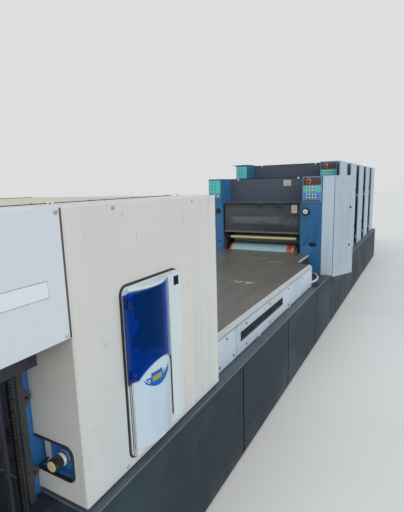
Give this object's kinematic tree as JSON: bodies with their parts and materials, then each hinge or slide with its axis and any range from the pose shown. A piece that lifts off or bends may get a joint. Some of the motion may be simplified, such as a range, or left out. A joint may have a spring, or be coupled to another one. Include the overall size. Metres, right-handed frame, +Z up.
{
  "type": "offset printing press",
  "caption": "Sheet-fed offset printing press with delivery, walk-on table, coater with an ajar side door, printing units with side doors and keypads, and feeder.",
  "frame": {"origin": "on the floor at mid-length and on the centreline of the press", "axes": "+X along the press from the delivery to the feeder, +Z up, the operator side at -Y"},
  "size_m": [11.76, 1.8474, 1.914],
  "materials": {
    "dark_frame": "dark satin paint",
    "slate_paint": "worn satin paint",
    "light_trim": "scuffed light edging",
    "blue_paint": "satin machine paint",
    "bare_steel": "oiled machined steel",
    "chain_steel": "greased dark steel",
    "cream_paint": "fine textured cream-grey paint",
    "cool_white_paint": "satin cool white paint",
    "black_paint": "black paint",
    "black_rubber": "matt rubber",
    "black_plastic": "knurled plastic",
    "white_plastic": "smooth plastic",
    "blue_clear": "tinted clear plastic",
    "table_paint": "scuffed walk-on coating",
    "clear_hose": "milky hose",
    "hood_paint": "dark grey textured paint",
    "smoked_clear": "smoked clear plastic in a black frame",
    "yellow_bar": "yellowed coating",
    "blanket": "smooth rubber blanket",
    "door_paint": "light blue-grey textured paint",
    "board_wood": "worn board"
  },
  "bodies": {
    "press": {"base_frame": "dark_frame", "base_panels": "slate_paint", "platform": "slate_paint", "platform_trim": "light_trim", "delivery_frames": "blue_paint", "delivery_ties": "dark_frame", "pile_guides": "bare_steel", "chain_channels": "dark_frame", "hoist_chains": "chain_steel", "hoist_wheels": "bare_steel", "top_covers": "cream_paint", "sign_panels": "cool_white_paint", "side_rails": "black_paint", "end_cover": "cream_paint", "dryer_cover": "cream_paint", "drive_cover": "cream_paint", "cutout_edging": "black_rubber", "knob_plate": "blue_paint", "window_edging": "black_rubber", "window_frame": "white_plastic", "control_panel": "white_plastic", "table_body": "dark_frame", "table_top": "table_paint", "table_sides": "cool_white_paint", "table_trim": "light_trim", "drain_hose": "clear_hose", "unit_frames": "dark_frame", "front_columns": "blue_paint", "column_gauges": "black_plastic", "switch_boxes": "blue_paint", "keypads": "black_plastic", "coater_hood": "hood_paint", "unit_hoods": "hood_paint", "front_guards": "hood_paint", "coater_bars": "yellow_bar", "coater_post": "door_paint", "door_hinges": "black_paint", "drive_covers": "door_paint", "feeder_frames": "blue_paint", "feeder_ties": "dark_frame", "feed_board": "bare_steel", "suction_head": "bare_steel", "feeder_pile": "board_wood"},
    "pile_board_body": {"pile_board": "dark_frame"},
    "setting_knob_body": {"setting_knob": "black_plastic"},
    "blue_cover_body": {"blue_cover": "blue_clear"},
    "coater_guard_body": {"coater_guard": "smoked_clear"},
    "blanket_cylinder_body": {"blanket_cylinder": "blanket"},
    "form_roller_body": {"form_roller": "black_rubber"},
    "metering_roller_body": {"metering_roller": "bare_steel"},
    "coater_door_body": {"coater_door": "door_paint"},
    "door_1_body": {"door_1": "door_paint"},
    "door_2_body": {"door_2": "door_paint"},
    "door_3_body": {"door_3": "door_paint"},
    "door_4_body": {"door_4": "door_paint"},
    "door_5_body": {"door_5": "door_paint"}
  },
  "joints": [
    {"name": "pile_lift", "type": "slide", "parent": "press", "child": "pile_board_body", "axis": [0, 0, 1], "range_m": [-0.04, 0.66]},
    {"name": "knob_turn", "type": "hinge", "parent": "press", "child": "setting_knob_body", "pos_m": [-4.85, -0.7, 0.768], "axis": [1, 0, 0], "continuous": true},
    {"name": "blue_cover_hinge", "type": "hinge", "parent": "press", "child": "blue_cover_body", "pos_m": [-4.6467, -0.833, 0.958], "axis": [0, 0, -1], "range_deg": [0, 100]},
    {"name": "guard_hinge", "type": "hinge", "parent": "press", "child": "coater_guard_body", "pos_m": [-1.172, 0, 1.392], "axis": [0, 1, 0], "range_deg": [0, 65]},
    {"name": "blanket_spin", "type": "hinge", "parent": "press", "child": "blanket_cylinder_body", "pos_m": [-1.022, 0, 0.77], "axis": [0, 1, 0], "continuous": true},
    {"name": "form_spin", "type": "hinge", "parent": "press", "child": "form_roller_body", "pos_m": [-0.96, 0, 0.96046], "axis": [0, 1, 0], "continuous": true},
    {"name": "meter_spin", "type": "hinge", "parent": "press", "child": "metering_roller_body", "pos_m": [-0.98, 0, 1.07909], "axis": [0, 1, 0], "continuous": true},
    {"name": "coater_door_hinge", "type": "hinge", "parent": "press", "child": "coater_door_body", "pos_m": [-1.168, -0.827, 1.1], "axis": [0, 0, -1], "range_deg": [-26, 64]},
    {"name": "door_1_hinge", "type": "hinge", "parent": "press", "child": "door_1_body", "pos_m": [-0.449, -0.752, 1.2], "axis": [0, 0, -1], "range_deg": [0, 95]},
    {"name": "door_2_hinge", "type": "hinge", "parent": "press", "child": "door_2_body", "pos_m": [0.406, -0.752, 1.2], "axis": [0, 0, -1], "range_deg": [0, 95]},
    {"name": "door_3_hinge", "type": "hinge", "parent": "press", "child": "door_3_body", "pos_m": [1.261, -0.752, 1.2], "axis": [0, 0, -1], "range_deg": [0, 95]},
    {"name": "door_4_hinge", "type": "hinge", "parent": "press", "child": "door_4_body", "pos_m": [2.116, -0.752, 1.2], "axis": [0, 0, -1], "range_deg": [0, 95]},
    {"name": "door_5_hinge", "type": "hinge", "parent": "press", "child": "door_5_body", "pos_m": [2.971, -0.752, 1.2], "axis": [0, 0, -1], "range_deg": [0, 95]}
  ],
  "couplings": [
    {"joint": "form_spin", "follows": "blanket_spin", "ratio": -2.0769},
    {"joint": "meter_spin", "follows": "blanket_spin", "ratio": 2.4545}
  ]
}
